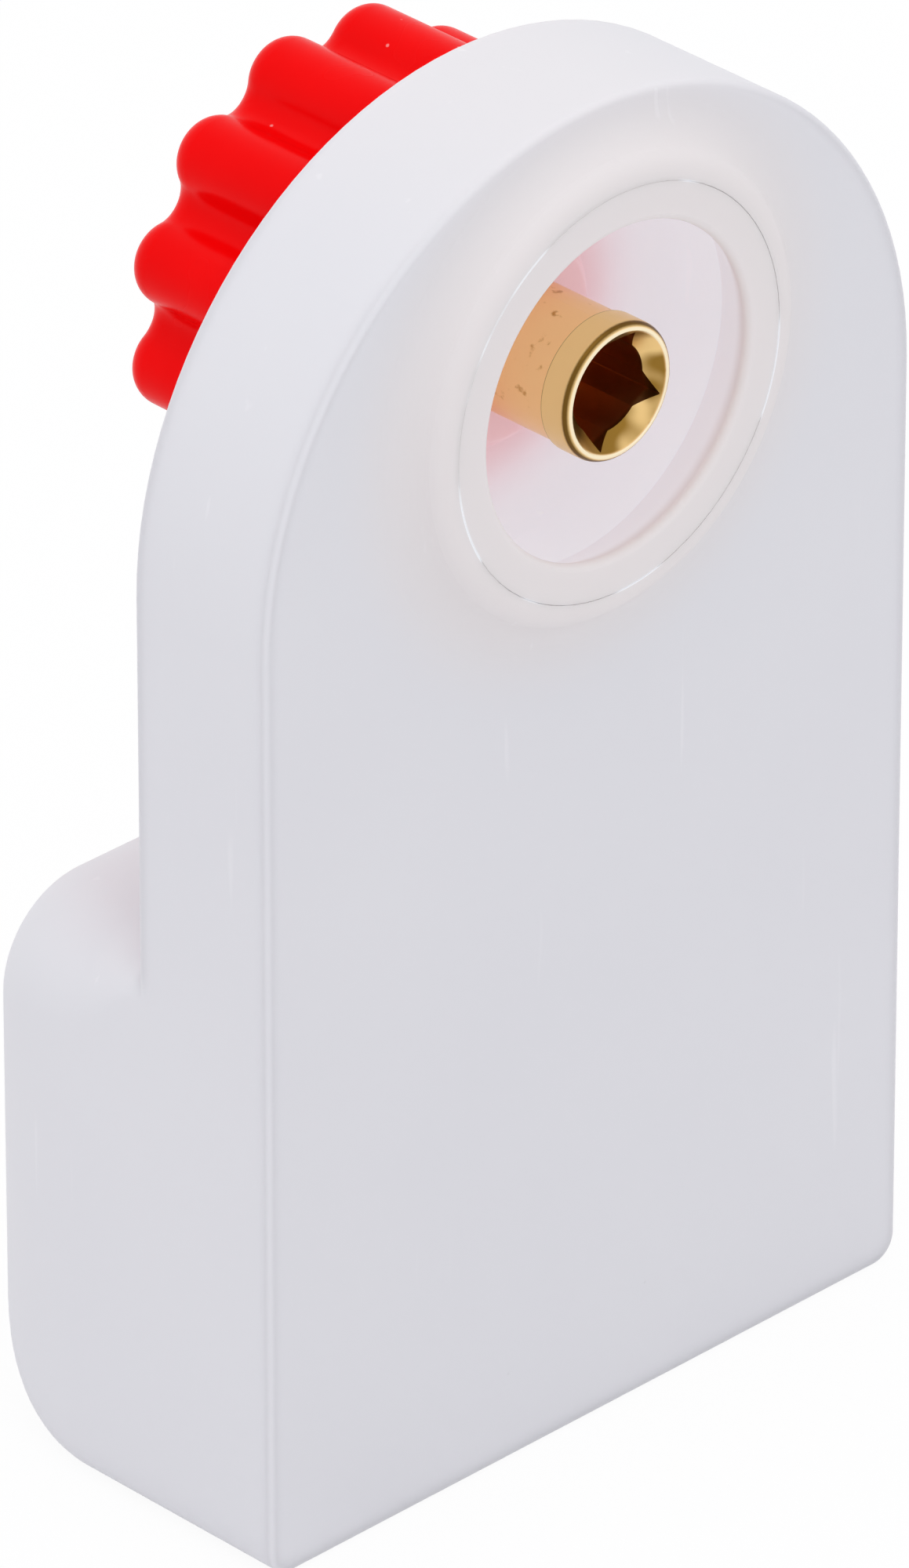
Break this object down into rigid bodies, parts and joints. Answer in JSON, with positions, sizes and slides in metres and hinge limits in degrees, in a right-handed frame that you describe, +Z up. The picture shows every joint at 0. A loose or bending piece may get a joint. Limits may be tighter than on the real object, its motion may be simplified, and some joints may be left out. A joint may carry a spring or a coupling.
{
  "type": "string winder",
  "caption": "Hand-held string winder: milky plastic body with a grip block, a brass square-socket spindle in a collared recess and a red lobed knob that turns it.",
  "frame": {"origin": "middle of the bottom of the overall bounding box", "axes": "+Z up, the longest side; +Y from the spindle socket toward the grip block and knob, the shortest side; +X across the plate"},
  "size_m": [0.06, 0.0392, 0.101],
  "materials": {
    "body_plastic": "satin, milky and slightly translucent",
    "collar_plastic": "satin, milky and slightly translucent",
    "bush_plastic": "satin",
    "washer_plastic": "satin",
    "spindle_brass": "turned, lightly worn",
    "hub_brass": "turned",
    "knob_plastic": "semi-gloss moulded",
    "cap_plastic": "semi-gloss moulded",
    "screw_steel": "zinc plated"
  },
  "bodies": {
    "housing": {"body": "body_plastic", "front_collar": "collar_plastic", "bearing_bush": "bush_plastic"},
    "rotor": {"spindle": "spindle_brass", "front_thrust_washer": "washer_plastic", "rear_thrust_washer": "washer_plastic", "knob_hub": "hub_brass", "knob": "knob_plastic", "lock_washer": "screw_steel", "knob_screw": "screw_steel", "knob_cap": "cap_plastic"}
  },
  "joints": [
    {"name": "spindle_turn", "type": "hinge", "parent": "housing", "child": "rotor", "pos_m": [0, 0, 0.0806], "axis": [0, 1, 0], "continuous": true}
  ]
}
